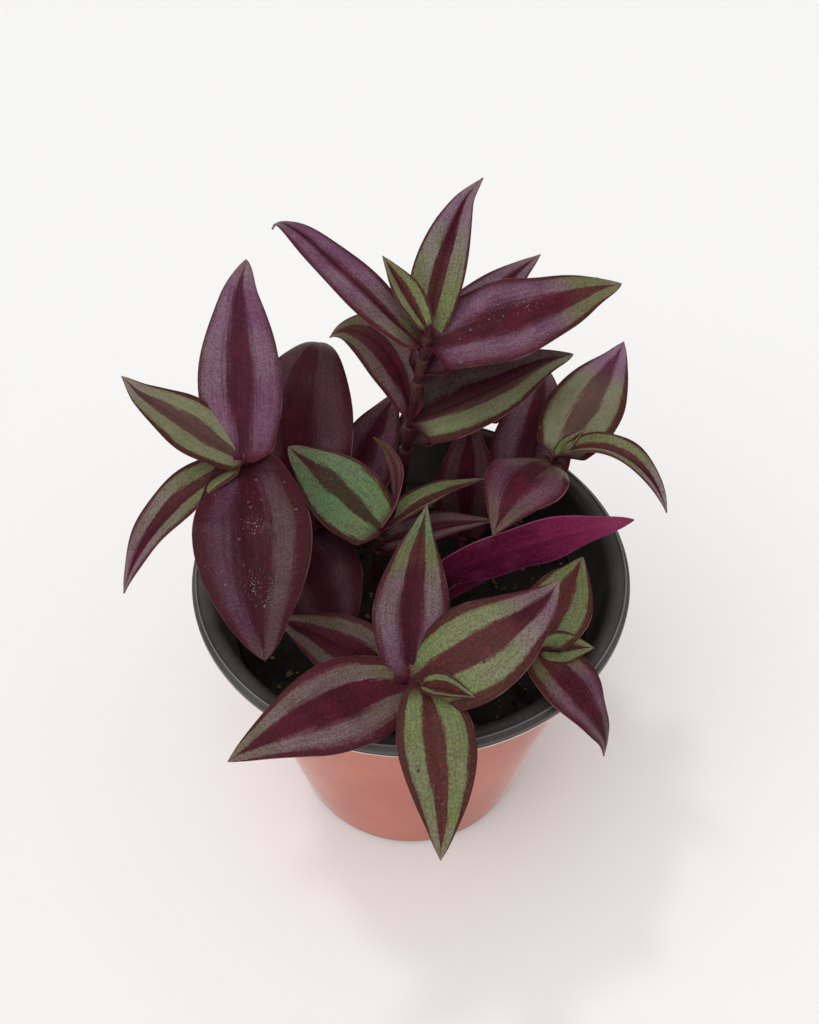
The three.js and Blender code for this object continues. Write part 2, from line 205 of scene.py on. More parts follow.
SHOOTS = {
    "shoot_tall": (
        Stem(-4, 30, 275, 78, 87, droop=-2, sweep=56),
        {
            "long_right": Leaf(
                0.92, 10, 12, 51.5, 23.5,
                Look(1.1, 1, -0.1, split=0.1, silver=0.75, wet=0.4, band=1.2, margin=-0.02),
                droop=3, sweep=15, roll=19, fold=13, taper=0.85, hook=-1.5,
            ),
            "under_right": Leaf(
                0.61, 14, 15, 47, 24.5,
                Look(0.2, 0.3, 0.2, split=0.5, band=1.1, depth=(-0.25, 0.6)),
                droop=-6, sweep=6, roll=18, fold=22, peak=0.3, taper=0.85, hook=-2,
            ),
            "folded_left": Leaf(
                0.64, 118, 78, 42, 16,
                Look(0.7, 0.35, 0, silver=0.6, band=1.3),
                droop=126, sweep=29, roll=-38, fold=31, peak=0.42, taper=1.1,
            ),
            "long_left": Leaf(
                0.91, 163, 39, 64.5, 12,
                Look(0.3, 1.1, 0.9, silver=0.8, band=0.6),
                droop=84, bend=2, sweep=-52, roll=-12, peak=0.3, taper=1.2,
            ),
            "inner_bud": Leaf(
                0.97, 127, 36, 22, 9, Look(0.1, 0, 0.1), droop=5, roll=-12, fold=38, peak=0.42,
            ),
            "upright": Leaf(
                0.89, 79, 48, 48, 14.5,
                Look(0, 0.3, 1.2, band=0.85, margin=-0.06),
                droop=20, sweep=-19, roll=8, fold=25, peak=0.4, hook=-2,
            ),
            "rear_right": Leaf(0.8, 47, 29, 51, 18, Look(0.8, 0.8, 0.7), droop=24, fold=15),
            "rear_under": Leaf(0.5, 50, 18, 38, 18, Look(0.6, 0.6, 0.6, silver=0.5), droop=40),
        },
    ),
    "shoot_left": (
        Stem(-28, 7.5, 205, 82, 60, droop=15, sweep=11),
        {
            "tall": Leaf(
                1, 90, 57, 49, 21,
                Look(0.8, 1.1, 0.9, split=-0.1, silver=0.85, band=1.1, margin=-0.1, depth=-0.1),
                droop=12, taper=0.82, hook=-1.8,
            ),
            "small_left": Leaf(
                1, 172, 41, 35, 16,
                Look(-0.1, 0.1, 0.35, depth=-0.3),
                droop=10, sweep=-8, roll=-16, fold=22, peak=0.4, hook=-1.6,
            ),
            "curling_left": Leaf(
                1, 209, -4, 47, 15, Look(0, 0.35, 0.95, silver=0.85), droop=59, sweep=14, fold=22,
            ),
            "broad_front": Leaf(
                0.95, 280, 10, 52, 28,
                Look(0.9, 0.65, 0.85, split=-0.3, silver=0.5, wet=1, band=1.1, margin=0.12, depth=0.3),
                droop=60, sweep=-3, fold=10, taper=0.8, peak=0.43, hook=0.8,
            ),
            "dark_rear": Leaf(
                0.45, 82, 68, 66, 30,
                Look(0.7, 0.7, 0.5, silver=0.3, band=1.1, depth=0.3),
                droop=112, bend=2, fold=6, taper=0.9, peak=0.4,
            ),
            "shaded_front": Leaf(
                0.42, 293, 8, 40, 26,
                Look(0.9, 1, 0.9, silver=0.35, margin=0.1, depth=0.55),
                droop=30, fold=10, taper=0.8,
            ),
        },
    ),
    "shoot_centre": (
        Stem(-10, 4, 279, 90, 36, droop=25, sweep=18),
        {
            "green": Leaf(
                1, 146, 34, 34, 20,
                Look(-0.4, -0.4, -0.2, wet=0.7, band=0.8, margin=-0.05),
                droop=16, roll=-25, fold=14, taper=0.8,
            ),
            "edge_on": Leaf(1, 32, 17, 33, 12, Look(0, -0.2, 0.1), droop=24, roll=-10, fold=45),
            "upright": Leaf(
                0.95, 32, 54, 29, 8.5,
                Look(0.4, 0.4, 0.1, silver=0.25),
                droop=34, sweep=121, roll=-68, fold=14,
            ),
            "shaded_right": Leaf(0.7, 5, 25, 33, 12, Look(0.5, 0.6, 0.6, silver=0.6), fold=25),
        },
    ),
    "shoot_front": (
        Stem(-2, -31.5, 241, 76, 38, droop=35, sweep=77),
        {
            "up": Leaf(
                0.82, 91, 48, 43, 19,
                Look(1, 0.6, -0.4, silver=0.9, band=1.1, depth=0.15),
                droop=22, sweep=-15, fold=16, taper=1.1,
            ),
            "broad_right": Leaf(
                0.82, 348, 53, 46, 23,
                Look(-0.25, 0.1, 0.8, margin=0.04),
                droop=56, sweep=66, roll=22, fold=10, hook=0.5,
            ),
            "left": Leaf(
                0.82, 209, 24, 46, 22,
                Look(0.35, 0.65, 0.35, split=0.1, silver=0.75, band=1.2, margin=0.05),
                droop=40, roll=-15,
            ),
            "down": Leaf(
                1, 284, 7, 39, 18,
                Look(-0.15, 0, 0.15, wet=0.2, band=0.85, margin=0.06),
                droop=54, sweep=-17,
            ),
            "bud": Leaf(
                1, 332, 24, 14, 8.5,
                Look(-0.1, -0.1, -0.1, band=1.5, margin=0.08),
                droop=10, roll=12, fold=42,
            ),
            "shaded_left": Leaf(
                0.62, 155, 23, 36, 18,
                Look(0.45, 0.4, 0.4, silver=0.6, band=1.3, depth=0.25),
                droop=26, roll=-25, fold=25,
            ),
        },
    ),
    "shoot_right": (
        Stem(25.5, 16.5, 38, 77, 49, droop=13, sweep=-97),
        {
            "up": Leaf(1, 55, 32, 40, 22, Look(-0.15, 0.1, 0.9, wet=0.5, depth=-0.42), droop=12, hook=0.8),
            "curling": Leaf(
                0.97, 338, 60, 40, 11, Look(0.1, 0.15, 0.6), droop=105, sweep=-45, fold=30, sleeve=0.2,
            ),
            "bud": Leaf(1, 21, 54, 11, 6.5, Look(-0.1, 0, 0), droop=5, fold=35),
            "nodding": Leaf(
                0.92, 231, 45, 35.5, 21.6,
                Look(-0.1, 0.9, 0.4, silver=0.45),
                droop=90, sweep=9, roll=4, fold=2, peak=0.44, taper=1.1,
            ),
            "dark_rear": Leaf(0.45, 75, 49, 44, 24, Look(1.2, 1.2, 1, silver=0.6), fold=8, taper=0.8),
        },
    ),
    "shoot_front_right": (
        Stem(25, -25.5, 293, 66, 31, sweep=12),
        {
            "up": Leaf(1, 62, 17, 30, 18, Look(-0.2, -0.15, 0, silver=0.9), droop=16, fold=16),
            "bud": Leaf(1, 2, 10, 13.5, 9, Look(-0.1, -0.1, 0, band=0.8), droop=16, roll=30, fold=24),
            "over_rim": Leaf(
                0.95, 309, 2, 33, 16,
                Look(0, 0.9, 0.4, silver=0.6, band=1.3, margin=0.04),
                droop=80, sweep=16, fold=14, peak=0.28, hook=-1.5,
            ),
        },
    ),
    "shoot_low": (
        Stem(6.5, -6.5, 253, 80, 28, droop=7, sweep=12),
        {
            "magenta": Leaf(
                0.98, 11, 24, 54.5, 21,
                Look(0.8, 0.8, 0.8),
                droop=14, sweep=-8, roll=-82, fold=6, peak=0.45, taper=0.85,
            ),
            "rolled_young": Leaf(
                0.3, 33, 1, 24, 8, Look(0.9, 0.9, 0.9, depth=0.2), droop=0, roll=-60, fold=50,
            ),
        },
    ),
    "shoot_inner_left": (
        Stem(-18, 14.5, 97, 85, 24, droop=7, sweep=18),
        {
            "upright": Leaf(
                1, 50, 58, 36, 21, Look(0.8, 0.8, 0.7, silver=0.5), droop=16, fold=10, taper=0.8,
            ),
            "pale": Leaf(0.5, 119, -3, 20, 16, Look(0.5, 0.5, 0.5), droop=10, roll=160, fold=10),
            "rear": Leaf(0.9, 115, 30, 38, 20, Look(0.5, 0.6, 0.5, silver=0.8), droop=40, fold=10),
        },
    ),
    "shoot_inner_right": (
        Stem(15, 15, 82, 89, 16, droop=21, sweep=-16),
        {
            "striped": Leaf(
                0.8, 86, 85, 39, 18, Look(0.5, 0.6, 0.6, silver=0.3), droop=10, fold=8, taper=0.8,
            ),
        },
    ),
    "shoot_rear": (
        Stem(14.5, 36.5, 41, 77, 35, droop=2, sweep=17),
        {
            "rear_right": Leaf(1, 55, 30, 36, 18, Look(0, 0.25, 0.85), droop=50),
            "rear_left": Leaf(0.9, 125, 35, 34, 18, Look(0.5, 0.6, 0.6, silver=0.8), droop=60),
            "rear_up": Leaf(1, 85, 14, 22, 12, Look(0, 0.1, 0.2), droop=20, fold=25),
        },
    ),
}


class PotSettings(bpy.types.PropertyGroup):
    """Sizes and colours of the nursery pot."""

    wall: bpy.props.FloatProperty(
        name="Wall", description="Thickness of the plastic", default=1.2 * MM, subtype="DISTANCE"
    )
    outside: bpy.props.FloatVectorProperty(
        name="Outside", description="Colour of the outer layer", default=srgb(186, 80, 42), subtype="COLOR"
    )
    inside: bpy.props.FloatVectorProperty(
        name="Inside", description="Colour of the inner layer and the rim",
        default=srgb(50, 47, 46), subtype="COLOR",
    )
    drain_holes: bpy.props.IntProperty(name="Drain holes", description="Holes in the floor", default=6, min=1)
    drain_radius: bpy.props.FloatProperty(
        name="Drain radius", description="Radius of a drain hole", default=3.5 * MM, subtype="DISTANCE"
    )
    drain_circle: bpy.props.FloatProperty(
        name="Drain circle", description="Radius of the ring of drain holes",
        default=27 * MM, subtype="DISTANCE",
    )


class SoilSettings(bpy.types.PropertyGroup):
    """Sizes and colours of the potting soil."""

    lump: bpy.props.FloatProperty(
        name="Lump", description="Height of the widest lumps", default=1.6 * MM, subtype="DISTANCE"
    )
    crumbs: bpy.props.IntProperty(name="Crumbs", description="Loose crumbs on top", default=420, min=0)
    colour: bpy.props.FloatVectorProperty(
        name="Colour", description="Colour of the damp peat", default=srgb(30, 22, 18), subtype="COLOR"
    )
    grit: bpy.props.FloatVectorProperty(
        name="Grit", description="Colour of the pale grains", default=srgb(118, 106, 86), subtype="COLOR"
    )


class LeafSettings(bpy.types.PropertyGroup):
    """Sizes and colours of the leaves, stems and sheaths."""

    thickness: bpy.props.FloatProperty(
        name="Thickness", description="Thickness of a blade beside its midrib",
        default=0.62 * MM, subtype="DISTANCE",
    )
    ripple: bpy.props.FloatProperty(
        name="Ripple", description="Height of the waves along a blade's edge",
        default=0.45 * MM, subtype="DISTANCE",
    )
    green: bpy.props.FloatVectorProperty(
        name="Green stripe", description="Colour of a young stripe",
        default=srgb(112, 126, 78), subtype="COLOR",
    )
    violet: bpy.props.FloatVectorProperty(
        name="Violet stripe", description="Colour of a mature stripe",
        default=srgb(120, 82, 112), subtype="COLOR",
    )
    band: bpy.props.FloatVectorProperty(
        name="Band", description="Colour of the band along the midrib",
        default=srgb(80, 25, 42), subtype="COLOR",
    )
    margin: bpy.props.FloatVectorProperty(
        name="Margin", description="Colour of the blade's margin", default=srgb(80, 27, 40), subtype="COLOR"
    )
    underside: bpy.props.FloatVectorProperty(
        name="Underside", description="Colour of the blade from below",
        default=srgb(134, 34, 80), subtype="COLOR",
    )
    stem: bpy.props.FloatVectorProperty(
        name="Stem", description="Colour of a stem", default=srgb(66, 30, 33), subtype="COLOR"
    )


class StageSettings(bpy.types.PropertyGroup):
    """Camera, floor and light."""

    lens: bpy.props.FloatProperty(name="Lens", description="Focal length in millimetres", default=30)
    camera_place: bpy.props.FloatVectorProperty(
        name="Camera", description="Where the camera stands",
        default=(-0.0004, -0.1573, 0.2748), subtype="TRANSLATION",
    )
    camera_pitch: bpy.props.FloatProperty(
        name="Pitch", description="Camera's turn up from straight down",
        default=math.radians(44.47), subtype="ANGLE",
    )
    floor: bpy.props.FloatVectorProperty(
        name="Floor", description="Colour of the floor", default=(0.93, 0.93, 0.925), subtype="COLOR"
    )
    sky: bpy.props.FloatProperty(name="Sky", description="Strength of the light from all round", default=0.34)
    key: bpy.props.FloatProperty(name="Key", description="Strength of the key light", default=1.63)


GROUPS = {
    "pot_settings": PotSettings,
    "soil_settings": SoilSettings,
    "leaf_settings": LeafSettings,
    "stage_settings": StageSettings,
}


# Node building

# Sockets of the Mix node when it mixes colours
MIX_FIRST, MIX_SECOND, MIX_RESULT = 6, 7, 2


class Nodes:
    """A material being built, with short calls for the nodes that it needs."""

    def __init__(self, name, **sockets):
        self.material = bpy.data.materials.new(name)
        self.material.use_nodes = True
        self.tree = self.material.node_tree
        self.shader = self.tree.nodes["Principled BSDF"]
        for socket, value in sockets.items():
            self.shader.inputs[socket.replace("_", " ")].default_value = value

    def add(self, kind, inputs=(), **settings):
        """A node, with its settings made and its inputs set or linked. Returns it."""
        node = self.tree.nodes.new(kind)
        for name, value in settings.items():
            setattr(node, name, value)
        for key, value in dict(inputs).items():
            self.feed(node.inputs[key], value)
        return node

    def feed(self, socket, value):
        """Links a socket to another node's, or sets its value, with an alpha for a colour."""
        if isinstance(value, bpy.types.NodeSocket):
            self.tree.links.new(value, socket)
        elif isinstance(socket.default_value, (int, float)):
            socket.default_value = value
        else:
            size = len(socket.default_value)
            socket.default_value = (tuple(value) + (1.0,))[:size]

    def attribute(self, name):
        """The piece's own attribute of that name."""
        return self.add("ShaderNodeAttribute", attribute_name=name).outputs["Fac"]

    def object_place(self):
        """Place on the piece, in metres."""
        return self.add("ShaderNodeTexCoord").outputs["Object"]

    def split(self, vector):
        """The X, Y and Z of a vector."""
        return tuple(self.add("ShaderNodeSeparateXYZ", {"Vector": vector}).outputs)

    def combine(self, x, y, z):
        """A vector of three values."""
        return self.add("ShaderNodeCombineXYZ", {"X": x, "Y": y, "Z": z}).outputs[0]

    def blade_place(self):
        """Shares across and along a blade, or round and along a stem, from the piece's own map."""
        return self.split(self.add("ShaderNodeUVMap", uv_map="blade").outputs["UV"])[:2]

    def math(self, operation, first, second=0.0, third=0.0):
        """Result of one Math node."""
        inputs = {0: first, 1: second, 2: third}
        return self.add("ShaderNodeMath", inputs, operation=operation).outputs[0]

    def product(self, first, *others):
        """Values multiplied with each other."""
        for other in others:
            first = self.math("MULTIPLY", first, other)
        return first

    def sway(self, value, pattern, amount):
        """Value moved down and up by a pattern that runs from 0 to 1."""
        return self.math("MULTIPLY_ADD", self.math("SUBTRACT", pattern, 0.5), amount, value)

    def range(self, value, low, high, start=0.0, end=1.0, kind="SMOOTHSTEP"):
        """Value moved from low..high to start..end, held at both ends."""
        inputs = {"Value": value, "From Min": low, "From Max": high, "To Min": start, "To Max": end}
        return self.add("ShaderNodeMapRange", inputs, interpolation_type=kind).outputs["Result"]

    def mix(self, share, first, second):
        """First colour where the share is 0, and second where it is 1."""
        inputs = {"Factor": share, MIX_FIRST: first, MIX_SECOND: second}
        return self.add("ShaderNodeMix", inputs, data_type="RGBA").outputs[MIX_RESULT]

    def coats(self, colour, *coats):
        """Colour under coats of (value, low, high, start, end, tint), each as dense as the range says."""
        for value, low, high, start, end, tint in coats:
            colour = self.mix(self.range(value, low, high, start, end), colour, tint)
        return colour

    def noise(self, vector, scale, detail=2.0, roughness=0.5):
        """Soft noise, mostly between 0.3 and 0.7."""
        inputs = {"Vector": vector, "Scale": scale, "Detail": detail, "Roughness": roughness}
        return self.add("ShaderNodeTexNoise", inputs).outputs["Fac"]

    def curve(self, value, points):
        """Value sent through a smooth curve of (input, output) points."""
        node = self.add("ShaderNodeFloatCurve", {"Value": value})
        line = node.mapping.curves[0]
        line.points[0].location = points[0]
        line.points[1].location = points[-1]
        for point in points[1:-1]:
            line.points.new(*point)
        node.mapping.update()
        return node.outputs[0]

    def bump(self, height, distance, strength=1.0, below=None):
        """Normal bent by a height, over the bump below it."""
        inputs = {"Height": height, "Distance": distance, "Strength": strength}
        node = self.add("ShaderNodeBump", inputs)
        if below is not None:
            self.feed(node.inputs["Normal"], below)
        return node.outputs["Normal"]

    def finish(self, **sockets):
        """Feeds the shader, and returns the material."""
        for socket, value in sockets.items():
            self.feed(self.shader.inputs[socket.replace("_", " ")], value)
        return self.material


def leaf_material(settings):
    """Silvery stripes on dark maroon above, streaked magenta beneath, and fine grain all over."""
    n = Nodes("striped_leaf", IOR=1.38, Specular_IOR_Level=0.1)
    place = n.object_place()
    across, along = n.blade_place()
    seed, violet, silver, wet, upper, depth = (
        n.attribute(name) for name in ("seed", "violet", "silver", "wet", "upper", "depth")
    )

    # Streaks and fibres run along the blade and ripples across it, as noise stretched on its own map
    streaks = n.noise(n.combine(n.product(across, 7.0), along, seed), 4.0, 4.0, 0.6)
    fibres = n.noise(n.combine(n.product(across, 26.0), along, seed), 3.5, 3.0, 0.65)
    ripples = n.noise(n.combine(n.product(across, 5.0), n.product(along, 30.0), seed), 4.0, 2.0, 0.6)
    grain = n.noise(place, 2300.0, 1.0, 0.4)
    cells = n.noise(place, 1000.0, 2.0, 0.6)
    blotches = n.noise(place, 420.0, 3.0, 0.65)
    cloud = n.noise(place, 130.0, 2.0, 0.5)
    silvering = n.noise(place, 55.0, 1.0, 0.5)

    # From the midrib at 0 to the edge at 1. The stripe lies between the band and the margin, feathered.
    from_midrib = n.math("ABSOLUTE", n.math("MULTIPLY_ADD", across, 2.0, -1.0))
    feathered = n.sway(n.sway(from_midrib, streaks, 0.3), cells, 0.1)
    band = n.curve(
        along, [(0, 0.16), (0.12, 0.22), (0.4, 0.31), (0.7, 0.3), (0.86, 0.22), (0.96, 0.06), (1, 0)]
    )
    band = n.product(band, n.attribute("band"))
    margin = n.curve(along, [(0, 0.72), (0.3, 0.81), (0.75, 0.84), (0.93, 0.92), (1, 1)])
    margin = n.math("SUBTRACT", margin, n.attribute("margin"))
    wander = n.combine(n.math("GREATER_THAN", across, 0.5), along, seed)
    wavy = n.sway(feathered, n.noise(wander, 4.0, 1.0), 0.18)
    feather = n.range(violet, 0.3, 0.9, 0.05, 0.15)
    inner = n.range(wavy, n.math("SUBTRACT", band, feather), n.math("ADD", band, feather))
    outer = n.range(wavy, n.math("SUBTRACT", margin, feather), n.math("ADD", margin, feather), 1.0, 0.0)
    streaked = n.range(streaks, 0.3, 0.55, 0.7, 1.0)
    stripe = n.product(inner, outer, n.range(along, 0.02, 0.13), n.product(silver, streaked))

    # The stripe's colour drifts from mint through green and grey to violet, grain by grain
    drift = n.sway(n.sway(n.sway(violet, cells, 0.7), streaks, 0.7), cloud, 0.5)
    colour = n.mix(n.range(drift, 0.1, 0.9), settings.green, settings.violet)
    grey = n.product(n.range(drift, 0.2, 0.5), n.range(drift, 0.5, 0.8, 1.0, 0.0), 0.5)
    colour = n.coats(
        n.mix(grey, colour, srgb(122, 110, 106)),
        (drift, -0.5, 0.0, 1.0, 0.0, srgb(96, 138, 92)),
        (along, 0.8, 0.98, 0.0, 0.45, srgb(148, 134, 118)),
    )
    mature = n.range(violet, 0.0, 0.6, 0.4, 1.0)
    clouded = n.product(n.range(cloud, 0.45, 0.65, 0.0, 0.25), mature)
    colour = n.mix(clouded, colour, srgb(160, 150, 150))
    silvered = n.product(n.range(silvering, 0.48, 0.66, 0.0, 0.25), mature)
    colour = n.mix(silvered, colour, srgb(160, 154, 152))
    young = n.product(n.range(along, 0.1, 0.5, 0.4, 0.0), n.range(violet, 0.0, 0.35, 1.0, 0.0))
    colour = n.coats(
        n.mix(young, colour, srgb(126, 148, 88)),
        (cells, 0.56, 0.72, 0.0, 0.2, srgb(168, 164, 152)),
        (grain, 0.38, 0.55, 0.42, 0.0, settings.margin),
        (ripples, 0.35, 0.5, 0.2, 0.0, settings.margin),
        (fibres, 0.35, 0.5, 0.3, 0.0, settings.margin),
    )

    # The dark band, brown beside a green stripe and olive beside mint
    brown = n.mix(n.range(blotches, 0.4, 0.6), srgb(82, 50, 43), srgb(96, 53, 48))
    maroon = n.coats(
        n.mix(n.range(fibres, 0.25, 0.75), srgb(56, 15, 27), settings.band),
        (streaks, 0.52, 0.7, 0.0, 0.25, srgb(98, 44, 54)),
        (cloud, 0.48, 0.62, 0.0, 0.4, srgb(98, 26, 48)),
        (cells, 0.34, 0.5, 0.25, 0.0, srgb(42, 12, 22)),
        (violet, 0.1, 0.5, 0.75, 0.0, brown),
        (violet, -0.4, -0.25, 0.8, 0.0, srgb(62, 60, 40)),
        (grain, 0.4, 0.55, 0.35, 0.0, srgb(44, 20, 24)),
        (grain, 0.56, 0.72, 0.0, 0.12, srgb(120, 84, 80)),
        (from_midrib, 0.0, 0.035, 0.2, 0.0, srgb(50, 14, 26)),
    )

    # The margin, rusty beside a green stripe
    rust = n.coats(
        n.mix(n.range(violet, 0.1, 0.6), srgb(78, 44, 37), settings.margin),
        (fibres, 0.35, 0.65, 0.35, 0.0, srgb(66, 30, 34)),
        (grain, 0.4, 0.55, 0.3, 0.0, srgb(50, 24, 26)),
        (grain, 0.56, 0.72, 0.0, 0.2, srgb(124, 92, 84)),
    )

    # The upper face, with its dark base, its dark edge and a pale line along it that is a painted highlight,
    # and a few dark spots
    dark = n.coats(
        n.mix(n.range(from_midrib, 0.5, 0.8), maroon, rust),
        (along, 0.0, 0.08, 0.6, 0.0, srgb(74, 22, 40)),
    )
    # Painted highlight: the pale line along the blade's very edge, where it catches the light
    painted_highlight = n.mix(n.range(cloud, 0.4, 0.6), srgb(60, 30, 32), srgb(158, 108, 106))
    top = n.coats(
        n.mix(stripe, dark, colour),
        (from_midrib, 0.9, 0.98, 0.0, 0.5, srgb(58, 30, 30)),
        (from_midrib, 0.975, 0.995, 0.0, 0.5, painted_highlight),
    )
    spots = n.add("ShaderNodeTexVoronoi", {"Vector": place, "Scale": 170.0}, feature="F1").outputs["Distance"]
    spotted = n.product(n.range(spots, 0.04, 0.1, 1.0, 0.0), n.range(cloud, 0.56, 0.62), 0.8)
    top = n.mix(spotted, top, srgb(36, 20, 20))

    # The underside, with painted shade towards its base, and a painted highlight towards its tip and along
    # its edge
    below = n.coats(
        n.mix(n.range(fibres, 0.3, 0.75), srgb(96, 20, 52), settings.underside),
        (streaks, 0.5, 0.8, 0.0, 0.5, srgb(146, 60, 102)),
        (from_midrib, 0.0, 0.08, 0.3, 0.0, srgb(140, 60, 88)),
        (along, 0.1, 0.6, 0.45, 0.0, srgb(70, 10, 38)),
        (along, 0.0, 0.12, 0.8, 0.0, srgb(58, 20, 34)),
        (from_midrib, 0.95, 0.99, 0.0, 0.5, srgb(176, 96, 128)),
        (cloud, 0.5, 0.7, 0.0, 0.3, srgb(160, 62, 108)),
        (along, 0.5, 0.9, 0.0, 0.35, srgb(172, 58, 112)),
        (grain, 0.56, 0.7, 0.0, 0.25, srgb(190, 110, 140)),
    )
    # Painted shade: depth darkens the blade towards near black
    colour = n.mix(depth, n.mix(upper, below, top), srgb(34, 10, 18))

    # A painted pale highlight where the depth is below 0, thickest on the stripes
    inward = n.range(from_midrib, 0.65, 0.9, 1.0, 0.0)
    painted_light = n.product(depth, -1.0, inward, n.math("MULTIPLY_ADD", stripe, 0.6, 0.4))
    pale = n.mix(n.range(violet, 0.2, 0.7), srgb(150, 140, 125), srgb(150, 96, 138))
    colour = n.mix(painted_light, colour, pale)

    # Water makes it smooth, and darker
    damp = n.product(wet, n.range(n.noise(place, 260.0, 3.0, 0.6), 0.42, 0.6))
    colour = n.mix(n.product(damp, 0.15), colour, srgb(48, 22, 30))
    rough = n.range(cells, 0.2, 0.8, 0.3, 0.44, "LINEAR")
    rough = n.math("SUBTRACT", rough, n.product(damp, 0.22))

    veins = n.bump(fibres, 0.12 * MM, 0.6)
    skin = n.bump(grain, 0.05 * MM, 0.4, veins)
    pucker = n.bump(cells, 0.1 * MM, 0.4, n.bump(ripples, 0.06 * MM, 0.5, skin))
    return n.finish(Base_Color=colour, Roughness=rough, Normal=pucker)


def stem_material(settings):
    """Purple-brown and green flesh with streaks along it. The upper attribute marks its sheaths."""
    n = Nodes("fleshy_stem", IOR=1.38, Specular_IOR_Level=0.3)
    place = n.object_place()
    around, along = n.blade_place()
    stretched = n.combine(n.product(around, 16.0), n.product(along, 3.0), n.attribute("seed"))
    streaks = n.noise(stretched, 2.0, 4.0, 0.6)
    speckle = n.noise(place, 1400.0, 2.0, 0.6)
    colour = n.coats(
        n.mix(n.range(streaks, 0.38, 0.62), settings.stem, srgb(58, 22, 30)),
        (streaks, 0.58, 0.75, 0.0, 0.6, srgb(88, 76, 48)),
    )
    pale = n.mix(n.range(streaks, 0.4, 0.65), srgb(74, 28, 42), srgb(92, 66, 52))
    colour = n.coats(
        n.mix(n.product(n.attribute("upper"), 0.75), colour, pale),
        (speckle, 0.5, 0.75, 0.0, 0.3, srgb(60, 26, 32)),
    )
    skin = n.bump(streaks, 0.2 * MM, 0.6, n.bump(speckle, 0.08 * MM, 0.5))
    return n.finish(Base_Color=colour, Roughness=n.range(speckle, 0.2, 0.8, 0.36, 0.5), Normal=skin)


def water_material():
    """Clear water."""
    n = Nodes("water", IOR=1.33, Transmission_Weight=0.94, Roughness=0.03, Base_Color=(1, 1, 1, 1))
    return n.material


def plastic_material(name, colour, dust, scuff_and_highlight, rough, shine, haze=0.0):
    """Moulded plastic with a faint grain, a little dust, small scuffs, and a painted highlight on the rim's
    ridge.
    """
    n = Nodes(name, IOR=1.48, Specular_IOR_Level=shine, Sheen_Weight=haze, Sheen_Roughness=0.16)
    place = n.object_place()
    smears = n.noise(place, 34.0, 3.0, 0.5)
    specks = n.noise(place, 900.0, 2.0, 0.6)
    shade = n.mix(n.range(smears, 0.35, 0.75), colour, dust)
    shade = n.mix(n.range(specks, 0.62, 0.8, 0.0, 0.25), shade, scuff_and_highlight)
    # The ridge round the top of the rim is painted lighter in the scuff colour: a painted highlight where it
    # catches the light
    x, y, height = n.split(place)
    radius = n.math("SQRT", n.math("ADD", n.math("POWER", x, 2), n.math("POWER", y, 2)))
    off_ridge = n.math("ABSOLUTE", n.math("SUBTRACT", radius, RIM_RADIUS - BEAD_INSET))
    on_ridge = n.range(off_ridge, 0.1 * MM, 0.4 * MM, 1.0, 0.0)
    high = n.range(height, POT_HEIGHT - BEAD_HEIGHT, POT_HEIGHT)
    painted_highlight = n.product(on_ridge, high, 0.7, n.range(smears, 0.2, 0.6, 0.5, 1.0))
    shade = n.mix(painted_highlight, shade, scuff_and_highlight)
    roughness = n.range(smears, 0.3, 0.7, rough, rough + 0.1)
    grain = n.bump(n.noise(place, 420.0, 2.0, 0.5), 0.03 * MM, 0.3)
    return n.finish(Base_Color=shade, Roughness=roughness, Normal=grain)


def soil_material(settings):
    """Damp peat: dark, with browner patches and pale grains."""
    n = Nodes("damp_peat", Specular_IOR_Level=0.3)
    place = n.object_place()
    crumbs = n.noise(place, 420.0, 5.0, 0.65)
    patches = n.noise(place, 70.0, 3.0, 0.6)
    grit = n.add("ShaderNodeTexVoronoi", {"Vector": place, "Scale": 520.0}, feature="F1")
    pick = n.add("ShaderNodeSeparateColor", {"Color": grit.outputs["Color"]}).outputs[0]
    colour = n.mix(n.range(crumbs, 0.35, 0.65), srgb(12, 9, 8), settings.colour)
    colour = n.mix(n.range(patches, 0.5, 0.7, 0.0, 0.5), colour, srgb(48, 36, 26))
    pale = n.product(n.range(pick, 0.985, 0.99), n.range(grit.outputs["Distance"], 0.2, 0.4, 1.0, 0.0))
    colour = n.mix(pale, colour, settings.grit)
    rough = n.range(patches, 0.35, 0.65, 0.95, 0.7)
    return n.finish(Base_Color=colour, Roughness=rough, Normal=n.bump(crumbs, 1.2 * MM, 0.9))


def crumb_material(settings):
    """Bark and perlite crumbs, each toned by its own attribute."""
    n = Nodes("crumb")
    place = n.object_place()
    fleck = n.noise(place, 1500.0, 3.0, 0.6)
    tone = n.attribute("tone")
    bark = n.mix(n.range(fleck, 0.3, 0.7), srgb(40, 31, 23), srgb(112, 90, 64))
    bark = n.mix(n.range(tone, 0.2, 0.7), srgb(15, 11, 10), bark)
    colour = n.mix(n.range(tone, 0.95, 0.96), bark, settings.grit)
    return n.finish(Base_Color=colour, Roughness=0.85, Normal=n.bump(fleck, 0.2 * MM, 0.6))


def material(name, maker, *parts):
    """The material of that name, made once."""
    return bpy.data.materials.get(name) or maker(*parts)


# Meshes and pieces


def add_piece(name, bm, materials, replaced=(), sharp=50):
    """Turns a bmesh into a piece on the plant's body, smooth but for creases sharper than an angle."""
    mesh = bpy.data.meshes.new(name)
    bm.to_mesh(mesh)
    bm.free()
    for item in materials:
        mesh.materials.append(item)
    mesh.shade_smooth()
    mesh.set_sharp_from_angle(angle=math.radians(sharp))
    piece = bpy.data.objects.new(name, mesh)
    bpy.context.scene.collection.objects.link(piece)
    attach(piece, BODY)
    if replaced:
        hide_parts(*replaced)
    return piece


def plant_layers(bm):
    """The plant's own map and attributes on a bmesh."""
    names = ("seed", "violet", "silver", "band", "margin", "depth", "wet", "upper")
    layers = {name: bm.verts.layers.float.new(name) for name in names}
    layers["blade"] = bm.loops.layers.uv.new("blade")
    return layers


